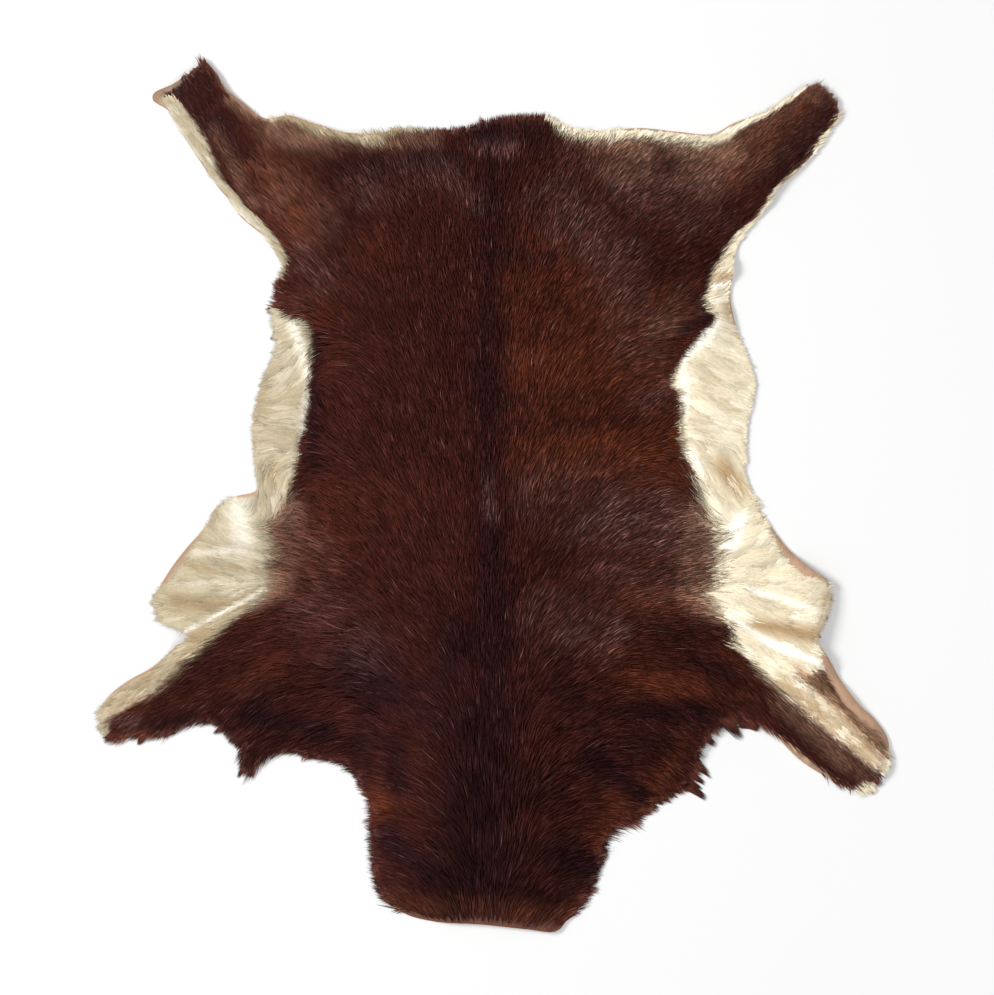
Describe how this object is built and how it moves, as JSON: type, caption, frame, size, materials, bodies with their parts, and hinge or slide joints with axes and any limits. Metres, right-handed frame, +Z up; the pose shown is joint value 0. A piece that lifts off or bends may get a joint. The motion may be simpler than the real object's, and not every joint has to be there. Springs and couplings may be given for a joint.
{
  "type": "goatskin",
  "caption": "Tanned goatskin with the hair on, laid flat hair side up: neck, tail edge, splayed legs, chestnut back and cream flanks, used as a rug or throw.",
  "frame": {"origin": "on the floor, under the middle of the hide's outline", "axes": "+Z up out of the hair, +Y along the spine from the neck to the tail, +X to the right seen from above with the tail away"},
  "size_m": [0.8077, 0.8752, 0.0268],
  "materials": {
    "coat": "chestnut brown goat hair with a dark line along the spine, cream on the flanks, belly and inner legs",
    "skin": "tanned suede flesh side and cut edge"
  },
  "bodies": {
    "root": {"goatskin": "coat"}
  },
  "joints": []
}
